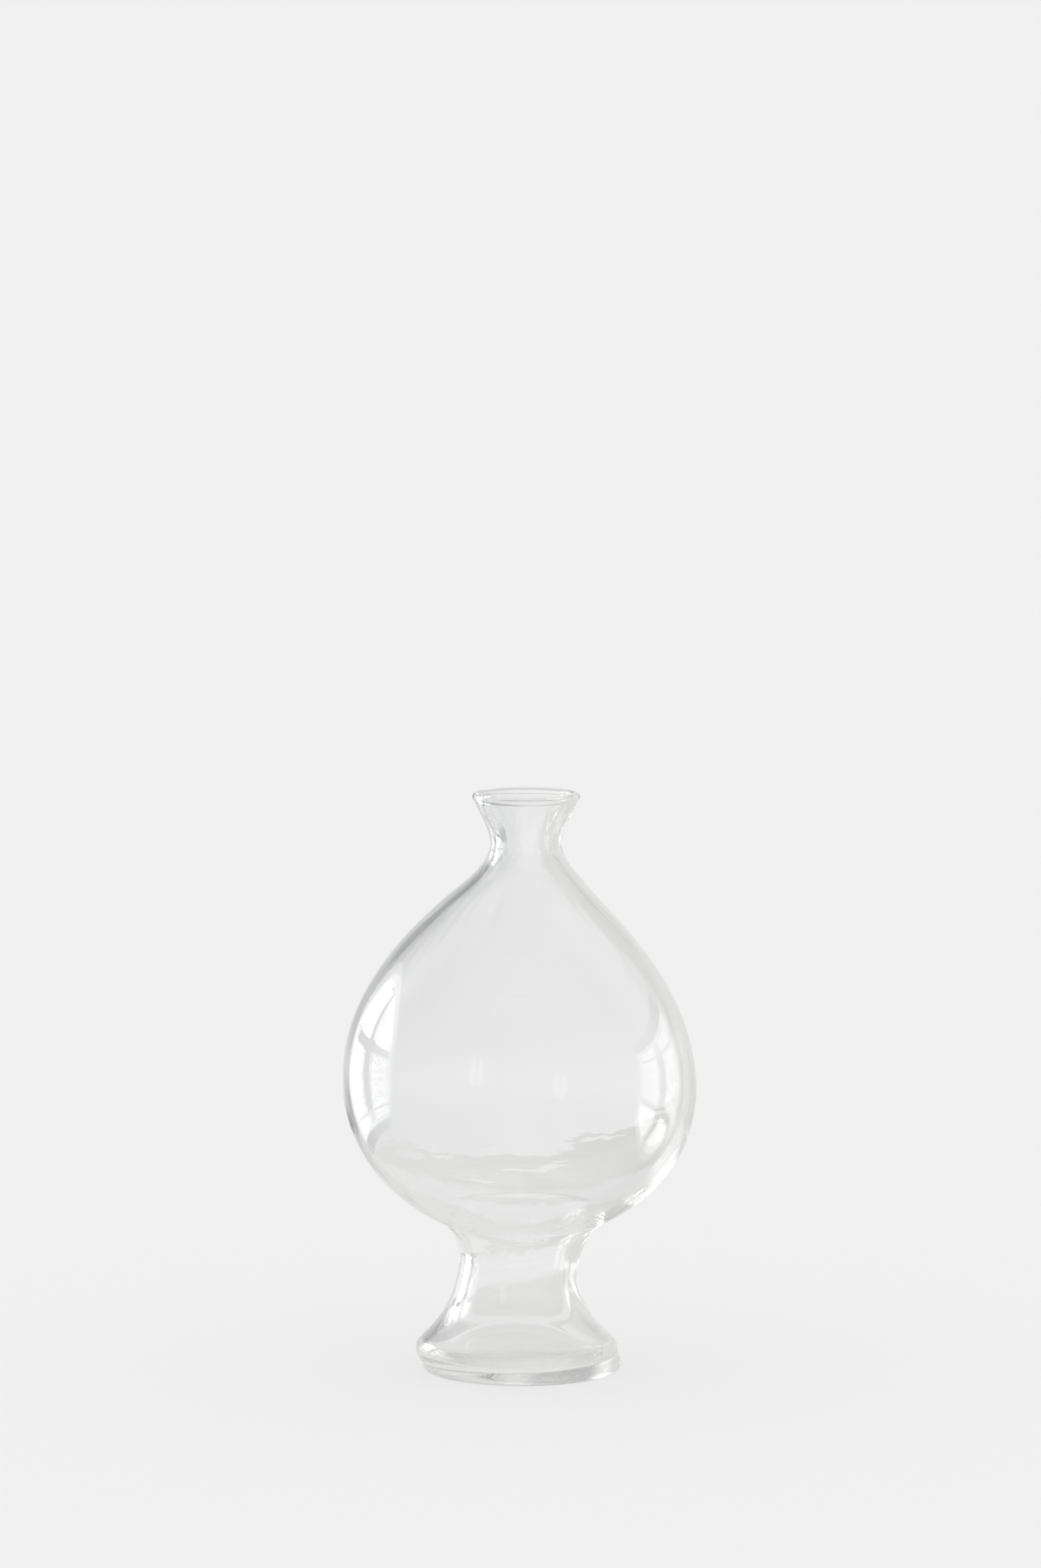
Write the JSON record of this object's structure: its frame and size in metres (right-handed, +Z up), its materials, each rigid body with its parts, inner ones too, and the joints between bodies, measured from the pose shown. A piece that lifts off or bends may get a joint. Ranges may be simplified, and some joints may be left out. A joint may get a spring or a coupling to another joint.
{
  "type": "vase",
  "caption": "Small footed bud vase of clear blown glass: drop-shaped thin bulb, short flared throat with a polished bead, and a hollow flared foot closed by a thick base disc.",
  "frame": {"origin": "centre of the underside, on the plane of the ring that the vase stands on", "axes": "+Z up along the axis of revolution, from the base to the mouth; the body is round, so X and Y are alike"},
  "size_m": [0.1032, 0.1032, 0.17],
  "materials": {
    "clear_glass": "fire-polished clear glass with a faint cool tint and slight striae"
  },
  "bodies": {
    "root": {"lip": "clear_glass", "neck": "clear_glass", "bulb": "clear_glass", "foot": "clear_glass", "base": "clear_glass"}
  },
  "joints": []
}
